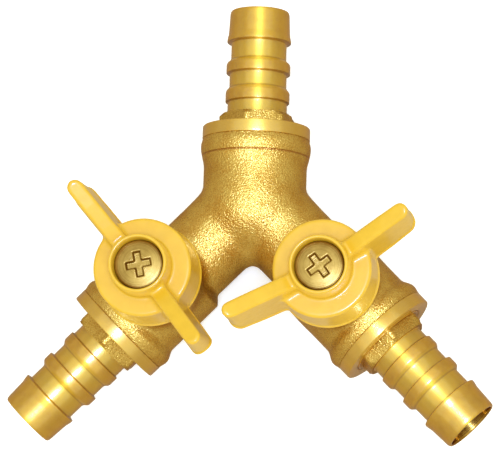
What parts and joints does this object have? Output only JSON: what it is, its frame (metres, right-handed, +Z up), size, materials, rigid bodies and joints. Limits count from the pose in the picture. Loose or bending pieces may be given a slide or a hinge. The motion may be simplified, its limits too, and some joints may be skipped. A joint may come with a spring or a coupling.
{
  "type": "hose splitter",
  "caption": "Y-shaped brass hose splitter with a barbed inlet, barbed outlets, and a quarter-turn ball valve with a winged yellow handle on each outlet leg.",
  "frame": {"origin": "centre of the bounding box in plan, on the plane that the part lies on", "axes": "+Y points out of the inlet barb, +Z points up along the valve stems towards the handles, +X points to the right-hand outlet"},
  "size_m": [0.0818, 0.0736, 0.0389],
  "materials": {
    "forged_brass": "blasted forging with fine grain, machined at the three ends",
    "turned_brass": "bright turned",
    "screw_brass": "fine turned",
    "yellow_enamel": "glossy enamel on a die casting",
    "ball_chrome": "polished plating",
    "seat_plastic": "smooth fluoropolymer",
    "seal_rubber": "smooth"
  },
  "bodies": {
    "housing": {"body": "forged_brass", "inlet_connector": "turned_brass", "left_connector": "turned_brass", "right_connector": "turned_brass", "inlet_joint_ring": "seal_rubber", "left_joint_ring": "seal_rubber", "right_joint_ring": "seal_rubber", "left_inner_seat": "seat_plastic", "left_outer_seat": "seat_plastic", "right_inner_seat": "seat_plastic", "right_outer_seat": "seat_plastic"},
    "left_valve": {"left_handle": "yellow_enamel", "left_screw": "screw_brass", "left_stem": "turned_brass", "left_ball": "ball_chrome", "left_thrust_washer": "seat_plastic", "left_lower_ring": "seal_rubber", "left_upper_ring": "seal_rubber"},
    "right_valve": {"right_handle": "yellow_enamel", "right_screw": "screw_brass", "right_stem": "turned_brass", "right_ball": "ball_chrome", "right_thrust_washer": "seat_plastic", "right_lower_ring": "seal_rubber", "right_upper_ring": "seal_rubber"}
  },
  "joints": [
    {"name": "left_handle_turn", "type": "hinge", "parent": "housing", "child": "left_valve", "pos_m": [-0.01478, -0.01066, 0.0093], "axis": [0, 0, 1], "range_deg": [-84.7, 5.3]},
    {"name": "right_handle_turn", "type": "hinge", "parent": "housing", "child": "right_valve", "pos_m": [0.01478, -0.01066, 0.0093], "axis": [0, 0, 1], "range_deg": [-75.9, 14.1]}
  ]
}
